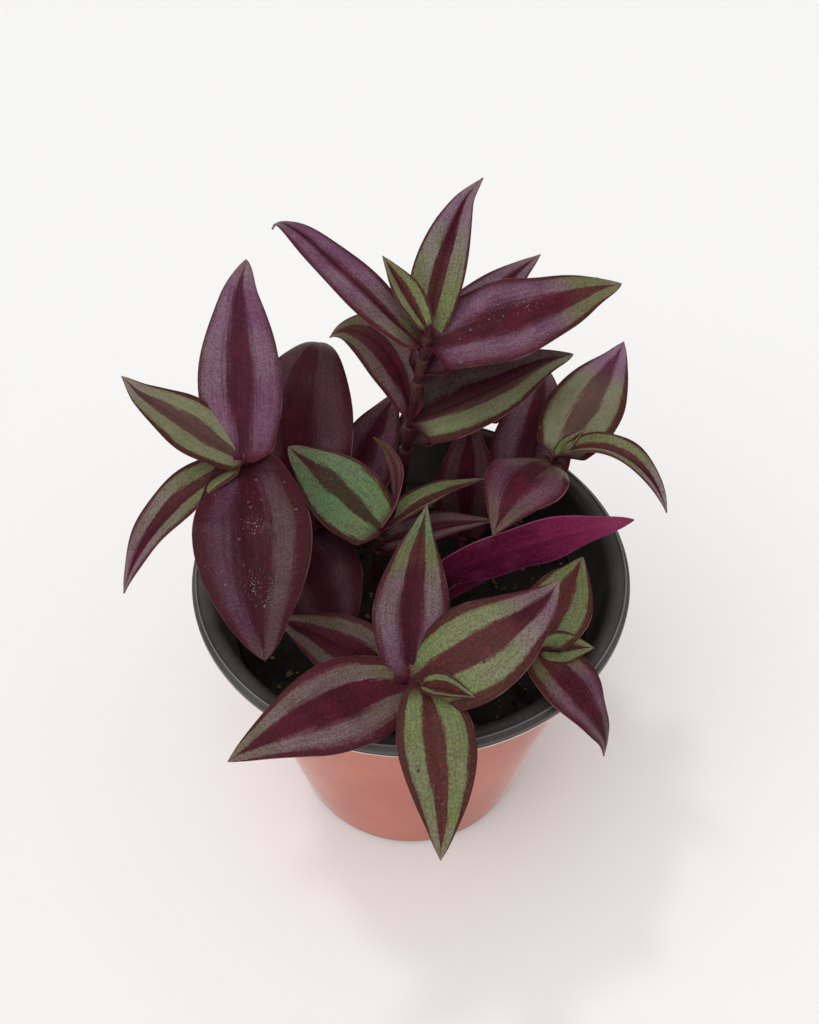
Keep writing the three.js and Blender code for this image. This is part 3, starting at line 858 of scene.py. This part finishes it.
def map_faces(verts, layer, place):
    """Writes the map of the faces round some vertices. A face that crosses the seam is kept whole."""
    faces = {face for vert in verts for face in vert.link_faces}
    for face in faces:
        spots = [place(loop.vert) for loop in face.loops]
        widest = max(spot[0] for spot in spots)
        for loop, (x, y) in zip(face.loops, spots):
            loop[layer].uv = (x + 1 if widest - x > 0.5 else x, y)


# A blade's cells across and along, and how much closer its rows stand at the ends
LEAF_CELLS = 20
LEAF_STEPS = 60
END_CROWD = 0.2

# The groove over the midrib, the sleeve round the stem, and how thin the edge is
MIDRIB_DEPTH = 0.16
MIDRIB_SHARE = 0.1
SLEEVE_FOLD = 55
SLEEVE_HALF_WIDTH = 2.0
EDGE_SHARE = 0.35
LEAST_HALF_WIDTH = 0.05

# Seeds wrap round at this in the attribute, because noise is coarse far from zero
SEED_SPAN = 10


def leaf_start(stem, leaf):
    """Where a leaf leaves its stem's middle."""
    return stem.point(stem.foot, min(leaf.at, 1 - ROOT_INSET / stem.length))


class Blade:
    """Places points of a leaf: u runs from -1 to 1 across it, and share from 0 to 1 along it."""

    def __init__(self, stem, leaf, seed, thickness, ripple):
        self.leaf = leaf
        self.start = leaf_start(stem, leaf)
        self.thickness = thickness / MM
        draw = random.Random(seed)
        self.ripple = ripple / MM * min(leaf.width / 20, 1.2)
        self.waves = [(draw.uniform(1.6, 3.2), draw.uniform(0, math.tau)) for _ in range(2)]
        self.lean = draw.uniform(-0.05, 0.05)
        self.stations = {}

    def station(self, share):
        """Midrib point and axes at a share of the length."""
        if share not in self.stations:
            self.stations[share] = (self.leaf.point(self.start, share), *self.leaf.axes(share))
        return self.stations[share]

    def tip_width(self, share):
        """Least half width near the tip, which ends blunt."""
        left = (1 - share) * self.leaf.length / TIP_REACH
        return TIP_HALF_WIDTH * math.sqrt(left) if left < 1 else 0

    def point(self, u, share, side):
        """Point in metres on the upper face where side is 1, and on the lower where it is -1."""
        centre, _, across, up = self.station(share)
        leaf = self.leaf
        sleeve = 1 - smooth(0, leaf.sleeve, share)
        fold = math.radians(lerp(leaf.fold, max(SLEEVE_FOLD, leaf.fold), sleeve))
        half = leaf.half_width(share) * (1 + self.lean * math.copysign(1, u))
        half = max(half, SLEEVE_HALF_WIDTH * sleeve, self.tip_width(share), LEAST_HALF_WIDTH)
        edge = abs(u)
        open_fold = math.sin(fold) * edge - CUP * u * u
        waves, phase = self.waves[u > 0]
        wave = self.ripple * edge**3 * math.sin(math.tau * waves * share + phase) * math.sin(math.pi * share)
        groove = MIDRIB_DEPTH * max(1 - edge / MIDRIB_SHARE, 0) ** 2 * smooth(0.05, 0.2, share)
        groove *= 1 - smooth(0.7, 1, share)
        thin = lerp(1, EDGE_SHARE, smooth(0.75, 1, edge)) * lerp(1, 0.5, smooth(0.9, 1, share))
        thick = self.thickness * thin
        lift = half * open_fold + wave + side * thick / 2 - groove
        aside = half * u * math.cos(fold) + leaf.hook * smooth(0.82, 1.05, share)
        return (centre + across * aside + up * lift) * MM

    def frame(self, u, share):
        """Point and unit normal of the upper face."""
        step = 0.01
        here = self.point(u, share, 1)
        along = self.point(u, min(share + step, 1), 1) - self.point(u, share - step, 1)
        across = self.point(u + step, share, 1) - self.point(u - step, share, 1)
        return here, along.cross(across).normalized()


def add_leaf(bm, layers, blade, seed):
    """One blade: a flat sheet of cells, given its thickness and map while flat, then bent to its form."""
    look = blade.leaf.look
    sheet = bmesh.ops.create_grid(bm, x_segments=LEAF_CELLS, y_segments=LEAF_STEPS, size=1)["verts"]
    for vert in sheet:
        vert.co.y += END_CROWD * math.sin(math.pi * vert.co.y)
    faces = {face for vert in sheet for face in vert.link_faces}
    made = bmesh.ops.solidify(bm, geom=list(faces), thickness=1)["geom"]
    verts = set(sheet) | {item for item in made if isinstance(item, bmesh.types.BMVert)}
    map_faces(verts, layers["blade"], lambda vert: ((vert.co.x + 1) / 2, (vert.co.y + 1) / 2))
    lowest = min(vert.co.z for vert in verts)
    for vert in verts:
        share = round((vert.co.y + 1) / 2, 6)
        side = -1 if vert.co.z < lowest + 0.5 else 1
        for name in ("silver", "band", "margin", "wet"):
            vert[layers[name]] = getattr(look, name)
        vert[layers["seed"]] = seed % SEED_SPAN
        vert[layers["violet"]] = look.violet(vert.co.x, share)
        vert[layers["depth"]] = lerp(*look.depth, smooth(-0.2, 0.2, vert.co.x))
        vert[layers["upper"]] = (side + 1) / 2
        vert.co = blade.point(vert.co.x, share, side)


TUBE_SIDES = 20

# Millimetres of tube to one unit of its map
TUBE_MAP = 10


def add_tube(bm, layers, stem, span, radius, steps, seed, sheath=0.0):
    """A closed tube along a span of a stem, with its radius in millimetres at each share of the span."""
    length = (span[1] - span[0]) * stem.length

    def place(vert):
        """Share of a turn round the tube, and the way along it."""
        return (math.atan2(vert.co.y, vert.co.x) / math.tau) % 1, vert.co.z * length / TUBE_MAP

    before = len(bm.verts)
    cone = bmesh.ops.create_cone(
        bm,
        cap_ends=True,
        segments=TUBE_SIDES,
        radius1=1,
        radius2=1,
        depth=1,
        matrix=Matrix.Translation((0, 0, 0.5)),
    )["verts"]
    edges = {edge for vert in cone for edge in vert.link_edges}
    uprights = [edge for edge in edges if abs(edge.verts[0].co.z - edge.verts[1].co.z) > 0.5]
    bmesh.ops.subdivide_edges(bm, edges=uprights, cuts=steps - 1, use_grid_fill=True)
    verts = list(bm.verts)[before:]
    map_faces(verts, layers["blade"], place)
    for vert in verts:
        share = vert.co.z
        q = lerp(*span, share)
        along, across, up = stem.axes(max(q, 0))
        centre = stem.foot + along * stem.length * q if q < 0 else stem.point(stem.foot, q)
        side = (across * vert.co.x + up * vert.co.y) * radius(share)
        vert[layers["seed"]] = seed % SEED_SPAN
        vert[layers["upper"]] = sheath
        vert.co = (centre + side) * MM


STEM_STEPS = 40
SHEATH_STEPS = 10
NODE_SWELL = 0.2
NODE_REACH = 3
CLOSING_REACH = 2.5
SHEATH_STAND = 0.2


def stem_radius(stem, places):
    """Radius along a stem with its root: it slims to the tip and swells a little under each leaf."""
    root = ROOT_DEPTH / stem.length

    def radius(share):
        q = lerp(-root, 1, share)
        base = lerp(STEM_RADIUS, STEM_TIP_RADIUS, max(q, 0))
        swell = sum(math.exp(-(((q - at) * stem.length / NODE_REACH) ** 2)) for at in places)
        closing = 1 - 0.85 * smooth(1 - CLOSING_REACH / stem.length, 1, q)
        return (base + NODE_SWELL * min(swell, 1)) * closing

    return radius


def sheath_places(stem, leaves):
    """Shares of the stem where sheaths sit, one for each group of leaves."""
    places = []
    for at in sorted({leaf.at for leaf in leaves.values()}):
        if not places or (at - places[-1]) * stem.length >= SHEATH_SPACING:
            places.append(at)
    return places


def sheath_radius(around):
    """Radius along a sheath round a stem of that radius, drawn in at its foot and closed at its mouth."""

    def radius(share):
        body = around + lerp(-0.1, SHEATH_STAND, smooth(0, 0.35, share)) + 0.1 * smooth(0.4, 0.75, share)
        return body * (1 - 0.6 * smooth(0.78, 1, share) ** 1.5)

    return radius


# Square millimetres of wet leaf to a drop, the share of fine drops, and how far out they sit
DROP_AREA = 6
FINE_DROPS = 0.7
DROP_REACH = 0.93

# A drop's height and how far its middle stands off the leaf, as shares of its radius
DROP_HEIGHT = 0.62
DROP_STAND = 0.2


def water_drops(bm, blade, seed):
    """Beads of water on the upper face, thickest in a few wet patches."""
    draw = random.Random(seed * 7 + 3)
    leaf = blade.leaf
    count = round(leaf.look.wet * leaf.length * leaf.width / DROP_AREA)
    patches = [(draw.uniform(-0.6, 0.6), draw.uniform(0.35, 0.8)) for _ in range(3)]
    for _ in range(count):
        fine = draw.random() < FINE_DROPS
        if fine:
            centre = draw.choice(patches)
            u = centre[0] + draw.gauss(0, 0.1)
            share = centre[1] + draw.gauss(0, 0.035)
        else:
            u = draw.uniform(-0.92, 0.92)
            share = draw.uniform(0.12, 0.92)
        u = min(max(u, -DROP_REACH), DROP_REACH)
        share = min(max(share, 0.1), DROP_REACH)
        radius = draw.uniform(0.08, 0.2) if fine else 0.12 + 0.34 * draw.random() ** 3
        here, normal = blade.frame(u, share)
        turn = normal.to_track_quat("Z", "Y").to_matrix().to_4x4()
        size = radius * MM
        flat = Matrix.Diagonal((size, size * draw.uniform(0.8, 1), size * DROP_HEIGHT, 1))
        matrix = Matrix.Translation(here + normal * size * DROP_STAND) @ turn @ flat
        bmesh.ops.create_icosphere(bm, subdivisions=2, radius=1, matrix=matrix)


class PLANT_OT_shoot(bpy.types.Operator):
    """Adds one leafy shoot: its blades, its stem with sheaths, and the water on it"""

    bl_idname = "inch_plant.add_shoot"
    bl_label = "Add Shoot"

    node: bpy.props.StringProperty(name="Shoot", description="The frame's node that it stands for")

    def execute(self, context):
        settings = context.scene.leaf_settings
        stem, leaves = SHOOTS[self.node]
        number = list(SHOOTS).index(self.node)
        blades = bmesh.new()
        layers = plant_layers(blades)
        drops = bmesh.new()
        for index, leaf in enumerate(leaves.values()):
            # A seed of its own for each leaf
            seed = 37 * number + 11 * index + 5
            blade = Blade(stem, leaf, seed, settings.thickness, settings.ripple)
            add_leaf(blades, layers, blade, seed * 1.37)
            if leaf.look.wet > 0:
                water_drops(drops, blade, seed)
        leafy = material("striped_leaf", leaf_material, settings)
        add_piece(f"{self.node}_leaves", blades, [leafy], [self.node])

        flesh = bmesh.new()
        layers = plant_layers(flesh)
        places = sheath_places(stem, leaves)
        root = ROOT_DEPTH / stem.length
        add_tube(flesh, layers, stem, (-root, 1), stem_radius(stem, places), STEM_STEPS, number)
        for at in places:
            span = (max(at - SHEATH_LENGTH / stem.length, 0), at)
            around = lerp(STEM_RADIUS, STEM_TIP_RADIUS, at) + NODE_SWELL
            add_tube(flesh, layers, stem, span, sheath_radius(around), SHEATH_STEPS, number + at, sheath=1.0)
        fleshy = material("fleshy_stem", stem_material, settings)
        add_piece(f"{self.node}_stem", flesh, [fleshy], [self.node])

        if drops.verts:
            add_piece(f"{self.node}_drops", drops, [material("water", water_material)])
        else:
            drops.free()
        return {"FINISHED"}


# The pot's body
POT_STEPS = 180
BASE_RADIUS = 39 * MM
BODY_TOP_RADIUS = 56 * MM
BASE_ROUND = 1.5 * MM
MOUTH_ROUND = 3.0 * MM
FINE_ROUND = 0.25 * MM

# The floor's drain holes, and the ring-shaped groove under it
DRAIN_SIDES = 32
RING_INSET = 3.0 * MM
RING_HALF_WIDTH = 0.4 * MM
RING_DEPTH = 0.35 * MM

# The turned-down lip, with a pale band at its foot that is a painted highlight and the groove above it
# painted near black as shadow, measured from the lip's foot
LIP_HEIGHT = 3.2 * MM
LIP_FOOT = POT_HEIGHT - LIP_HEIGHT
EDGE_HEIGHT = 0.38 * MM
GROOVE_BOTTOM = 1.2 * EDGE_HEIGHT
GROOVE_TOP = 2.2 * EDGE_HEIGHT
GROOVE_END = 2.4 * EDGE_HEIGHT
GROOVE_DEPTH = 0.5 * MM

# The raised bead round the top of the flange
BEAD_HEIGHT = 0.5 * MM
BEAD_HALF_WIDTH = 0.45 * MM
BEAD_INSET = 1.3 * MM

# Which plastic a face of the pot shows, or the painted highlight at the lip's foot, or the painted shadow in
# the groove
OUTSIDE, INSIDE, LIP_HIGHLIGHT, GROOVE = range(4)


def pot_radius(height):
    """Radius outside the wall at a height."""
    return lerp(BASE_RADIUS, BODY_TOP_RADIUS, height / POT_HEIGHT)


def round_corner(before, corner, after, size, steps=6):
    """Points of a rounded corner between two straight stretches."""
    corner = Vector(corner)
    first = corner + (Vector(before) - corner).normalized() * size
    last = corner + (Vector(after) - corner).normalized() * size
    points = []
    for step in range(steps + 1):
        share = step / steps
        points.append(first.lerp(corner, share).lerp(corner.lerp(last, share), share))
    return points


def pot_profile(wall):
    """Section of the pot as (radius, height, rounding), from the axis below round to the axis above."""

    def inside(height):
        """Radius inside the wall at a height."""
        return pot_radius(height) - wall

    flange = POT_HEIGHT - BEAD_HEIGHT
    under = flange - wall
    bead = RIM_RADIUS - BEAD_INSET
    fine = FINE_ROUND
    return [
        (0, 0, 0),
        (BASE_RADIUS - RING_INSET - RING_HALF_WIDTH, 0, 0),
        (BASE_RADIUS - RING_INSET, RING_DEPTH, fine / 2),
        (BASE_RADIUS - RING_INSET + RING_HALF_WIDTH, 0, fine / 2),
        (BASE_RADIUS - BASE_ROUND, 0, fine),
        (pot_radius(BASE_ROUND), BASE_ROUND, 2 * fine),
        (pot_radius(under), under, fine),
        (RIM_RADIUS - wall, under, fine),
        (RIM_RADIUS - wall, LIP_FOOT, fine),
        (RIM_RADIUS, LIP_FOOT, fine / 2),
        (RIM_RADIUS, LIP_FOOT + EDGE_HEIGHT, fine / 2),
        (RIM_RADIUS - GROOVE_DEPTH, LIP_FOOT + GROOVE_BOTTOM, fine / 4),
        (RIM_RADIUS - GROOVE_DEPTH, LIP_FOOT + GROOVE_TOP, fine / 4),
        (RIM_RADIUS, LIP_FOOT + GROOVE_END, fine / 4),
        (RIM_RADIUS, flange - 0.3 * MM, 3 * fine),
        (bead + BEAD_HALF_WIDTH, flange + 0.1 * MM, fine),
        (bead, POT_HEIGHT + 0.05 * MM, fine),
        (bead - BEAD_HALF_WIDTH, flange, fine),
        (inside(flange), flange - 0.1 * MM, MOUTH_ROUND),
        (inside(wall + BASE_ROUND), wall + BASE_ROUND, 2 * fine),
        (inside(wall) - BASE_ROUND, wall, 2 * fine),
        (0, wall, 0),
    ]


def pot_layer(middle, wall):
    """Which plastic a face of the pot shows by its middle, or the painted highlight or painted shadow on the
    lip.
    """
    radius = math.hypot(middle.x, middle.y)
    on_lip = radius > RIM_RADIUS - wall / 2
    if on_lip and middle.z < LIP_FOOT + EDGE_HEIGHT + 0.02 * MM:
        return LIP_HIGHLIGHT
    if on_lip and middle.z < LIP_FOOT + GROOVE_END:
        return GROOVE
    slack = wall / 2 if middle.z < POT_HEIGHT / 2 else 0.15 * MM
    on_outside = radius > pot_radius(middle.z) - slack or middle.z < wall / 2
    on_top = middle.z > POT_HEIGHT - BEAD_HEIGHT - wall / 2
    above_foot = on_lip and middle.z > LIP_FOOT
    return OUTSIDE if on_outside and not above_foot and not on_top else INSIDE


def rounded_section(corners):
    """The section's points, with every corner that has a rounding rounded."""
    points = []
    for index, (radius, height, size) in enumerate(corners):
        if size == 0:
            points.append(Vector((radius, height)))
        else:
            before, after = corners[index - 1][:2], corners[index + 1][:2]
            points.extend(round_corner(before, (radius, height), after, size))
    return points


def spin_section(bm, points, steps):
    """Spins a section of (radius, height) points round the Z axis into a closed skin."""
    verts = [bm.verts.new((point[0], 0, point[1])) for point in points]
    edges = [bm.edges.new(pair) for pair in zip(verts, verts[1:])]
    bmesh.ops.spin(
        bm,
        geom=verts + edges,
        cent=(0, 0, 0),
        axis=(0, 0, 1),
        angle=math.tau,
        steps=steps,
        use_merge=True,
    )
    bmesh.ops.remove_doubles(bm, verts=bm.verts[:], dist=1e-6)
    bmesh.ops.recalc_face_normals(bm, faces=bm.faces[:])


def cut_away(piece, cutter):
    """Cuts the cutter's shape out of a piece for good, and removes the cutter."""
    modifier = piece.modifiers.new("cut", "BOOLEAN")
    modifier.object = cutter
    modifier.operation = "DIFFERENCE"
    modifier.solver = "EXACT"
    graph = bpy.context.evaluated_depsgraph_get()
    cut = bpy.data.meshes.new_from_object(piece.evaluated_get(graph))
    piece.modifiers.clear()
    piece.data = cut
    bpy.data.objects.remove(cutter)


class PLANT_OT_pot(bpy.types.Operator):
    """Adds the thin nursery pot, terracotta outside and black inside, with its flange and drain holes"""

    bl_idname = "inch_plant.add_pot"
    bl_label = "Add Pot"

    def execute(self, context):
        settings = context.scene.pot_settings
        bm = bmesh.new()
        spin_section(bm, rounded_section(pot_profile(settings.wall)), POT_STEPS)
        for face in bm.faces:
            face.material_index = pot_layer(face.calc_center_median(), settings.wall)
        terracotta = plastic_material(
            "terracotta_plastic",
            settings.outside,
            dust=srgb(172, 82, 60),
            scuff_and_highlight=srgb(205, 150, 136),
            rough=0.32,
            shine=0.6,
            haze=0.6,
        )
        black = plastic_material(
            "black_plastic",
            settings.inside,
            dust=srgb(80, 76, 73),
            scuff_and_highlight=srgb(140, 136, 132),
            rough=0.42,
            shine=0.5,
        )
        # The lip's pale foot: a painted highlight, a near-white band where the lip's edge catches the light
        lip_highlight = plastic_material(
            "lip_highlight",
            srgb(226, 214, 206),
            dust=srgb(206, 186, 178),
            scuff_and_highlight=srgb(236, 228, 222),
            rough=0.4,
            shine=0.5,
        )
        # The groove above the lip's foot: painted shadow, near black
        groove = plastic_material(
            "groove_painted_shadow", srgb(8, 8, 8), dust=srgb(8, 8, 8), scuff_and_highlight=srgb(14, 13, 13), rough=0.6, shine=0.1
        )
        plastics = [terracotta, black, lip_highlight, groove]
        piece = add_piece("nursery_pot", bm, plastics, ["pot"], sharp=35)

        drills = bmesh.new()
        for hole in range(settings.drain_holes):
            angle = math.tau * (hole + 0.5) / settings.drain_holes
            centre = (settings.drain_circle * math.cos(angle), settings.drain_circle * math.sin(angle), 0)
            bmesh.ops.create_cone(
                drills,
                cap_ends=True,
                segments=DRAIN_SIDES,
                radius1=settings.drain_radius,
                radius2=settings.drain_radius,
                depth=4 * settings.wall,
                matrix=Matrix.Translation(centre),
            )
        mesh = bpy.data.meshes.new("drills")
        drills.to_mesh(mesh)
        drills.free()
        mesh.materials.append(terracotta)
        cutter = bpy.data.objects.new("drills", mesh)
        context.scene.collection.objects.link(cutter)
        cut_away(piece, cutter)
        return {"FINISHED"}


SOIL_RINGS = 66
SOIL_STEPS = 200
SOIL_LEVEL = (STEM_FOOT + 1) * MM
SOIL_CLEARANCE = 3 * MM

# Height, width in millimetres and shift of the wide, small and fine lumps
LUMPS = ((0.7, 9, (0, 0, 0)), (0.5, 2.6, (7, 3, 0)), (0.25, 1.1, (1, 9, 0)))

CRUMB_SEED = 4
CRUMB_LEAST = 0.35
CRUMB_SPREAD = 1.3
CRUMB_CRUMPLE = 0.35


def soil_height(x, y, lump):
    """How far the soil's top stands above its level, in metres."""
    place = Vector((x, y, 0)) / MM
    return lump * sum(high * noise.noise(place / wide + Vector(shift)) for high, wide, shift in LUMPS)


class PLANT_OT_soil(bpy.types.Operator):
    """Adds the soil with its lumpy top, and the loose crumbs on it"""

    bl_idname = "inch_plant.add_soil"
    bl_label = "Add Soil"

    def execute(self, context):
        settings = context.scene.soil_settings
        top = SOIL_HIGH.x
        foot = pot_radius(SOIL_LOW.z) - SOIL_CLEARANCE
        bm = bmesh.new()
        rings = [(top * (1 - ring / SOIL_RINGS), SOIL_LEVEL) for ring in range(SOIL_RINGS + 1)]
        spin_section(bm, [(0, SOIL_LOW.z), (foot, SOIL_LOW.z), *rings], SOIL_STEPS)
        for vert in bm.verts:
            if vert.co.z > SOIL_LEVEL - MM:
                inward = smooth(top, top - 3 * MM, math.hypot(vert.co.x, vert.co.y))
                height = SOIL_LEVEL + soil_height(vert.co.x, vert.co.y, settings.lump) * inward
                vert.co.z = min(height, SOIL_HIGH.z)
        add_piece("soil_top", bm, [soil_material(settings)], ["soil"], sharp=180)

        draw = random.Random(CRUMB_SEED)
        noise.seed_set(CRUMB_SEED)
        crumbs = bmesh.new()
        tone = crumbs.verts.layers.float.new("tone")
        for _ in range(settings.crumbs):
            radius = (top - 2 * MM) * math.sqrt(draw.random())
            angle = draw.uniform(0, math.tau)
            x, y = radius * math.cos(angle), radius * math.sin(angle)
            size = (CRUMB_LEAST + CRUMB_SPREAD * draw.random() ** 3) * MM
            squash = Matrix.Diagonal((size * draw.uniform(0.8, 1.6), size, size * draw.uniform(0.4, 0.8), 1))
            turn = Matrix.Rotation(draw.uniform(0, math.tau), 4, Vector((draw.random(), draw.random(), 1)))
            height = SOIL_LEVEL + soil_height(x, y, settings.lump) + 0.2 * size
            matrix = Matrix.Translation((x, y, height)) @ turn @ squash
            verts = bmesh.ops.create_icosphere(crumbs, subdivisions=1, radius=1, matrix=matrix)["verts"]
            shade = draw.random()
            for vert in verts:
                vert[tone] = shade
                vert.co += noise.noise_vector(vert.co / MM * 1.3) * size * CRUMB_CRUMPLE
        add_piece("soil_crumbs", crumbs, [crumb_material(settings)], sharp=30)
        return {"FINISHED"}


# Half the floor's side in metres, far enough to keep its corners out of the views
FLOOR_REACH = 40

# Where each sun shines from, its spread in degrees, and its strength as a share of the key's
LIGHTS = {
    "key": ((-0.45, -0.5, 1.0), 75, 1),
    "fill": ((0.9, -0.3, 0.9), 80, 0.25),
    "back": ((0.0, 0.5, 0.9), 45, 0.1),
    "glint": ((-0.3, 0.25, 1.0), 6, 0.2),
}


class PLANT_OT_stage(bpy.types.Operator):
    """Adds the pale floor, the soft light and the camera"""

    bl_idname = "inch_plant.add_stage"
    bl_label = "Add Stage"

    def execute(self, context):
        settings = context.scene.stage_settings
        scene = context.scene
        bm = bmesh.new()
        bmesh.ops.create_grid(bm, x_segments=8, y_segments=8, size=FLOOR_REACH)
        mesh = bpy.data.meshes.new("floor")
        bm.to_mesh(mesh)
        bm.free()
        floor = bpy.data.objects.new("floor", mesh)
        scene.collection.objects.link(floor)
        paint = Nodes("pale_floor", Roughness=0.9, Specular_IOR_Level=0.1)
        paint.feed(paint.shader.inputs["Base Color"], settings.floor)
        mesh.materials.append(paint.material)

        world = bpy.data.worlds.new("soft_sky")
        world.use_nodes = True
        sky = world.node_tree.nodes["Background"]
        sky.inputs["Color"].default_value = (1, 0.99, 0.98, 1)
        sky.inputs["Strength"].default_value = settings.sky
        scene.world = world

        for name, (place, spread, share) in LIGHTS.items():
            lamp = bpy.data.lights.new(name, "SUN")
            lamp.angle = math.radians(spread)
            lamp.energy = settings.key * share
            holder = bpy.data.objects.new(name, lamp)
            holder.location = place
            holder.rotation_euler = (-holder.location).to_track_quat("-Z", "Y").to_euler()
            scene.collection.objects.link(holder)

        view = bpy.data.cameras.new("camera")
        view.lens = settings.lens
        view.sensor_width = 36
        view.clip_start = 0.01
        holder = bpy.data.objects.new("camera", view)
        holder.location = settings.camera_place
        holder.rotation_euler = (settings.camera_pitch, 0, 0)
        scene.collection.objects.link(holder)
        scene.camera = holder
        scene.view_settings.view_transform = "Standard"
        return {"FINISHED"}


class PLANT_PT_panel(bpy.types.Panel):
    """Lists the plant's pieces and their settings"""

    bl_idname = "PLANT_PT_panel"
    bl_label = "Potted Tradescantia"
    bl_space_type = "VIEW_3D"
    bl_region_type = "UI"
    bl_category = "Inch Plant"

    def draw(self, context):
        layout = self.layout
        for group in GROUPS:
            settings = getattr(context.scene, group)
            box = layout.box()
            for name in settings.__annotations__:
                box.prop(settings, name)
        layout.operator(PLANT_OT_pot.bl_idname)
        layout.operator(PLANT_OT_soil.bl_idname)
        for node in SHOOTS:
            layout.operator(PLANT_OT_shoot.bl_idname, text=node).node = node
        layout.operator(PLANT_OT_stage.bl_idname)


CLASSES = (*GROUPS.values(), PLANT_OT_pot, PLANT_OT_soil, PLANT_OT_shoot, PLANT_OT_stage, PLANT_PT_panel)


def register():
    """Registers the classes, and hangs each group of settings on the scene."""
    for item in CLASSES:
        bpy.utils.register_class(item)
    for name, group in GROUPS.items():
        setattr(bpy.types.Scene, name, bpy.props.PointerProperty(type=group))


def unregister():
    """Undoes register."""
    for name in GROUPS:
        delattr(bpy.types.Scene, name)
    for item in reversed(CLASSES):
        bpy.utils.unregister_class(item)


def main():
    """Builds the stage, the pot, the soil and every shoot."""
    register()
    bpy.ops.inch_plant.add_stage()
    bpy.ops.inch_plant.add_pot()
    bpy.ops.inch_plant.add_soil()
    for node in SHOOTS:
        bpy.ops.inch_plant.add_shoot(node=node)


if __name__ == "__main__":
    main()
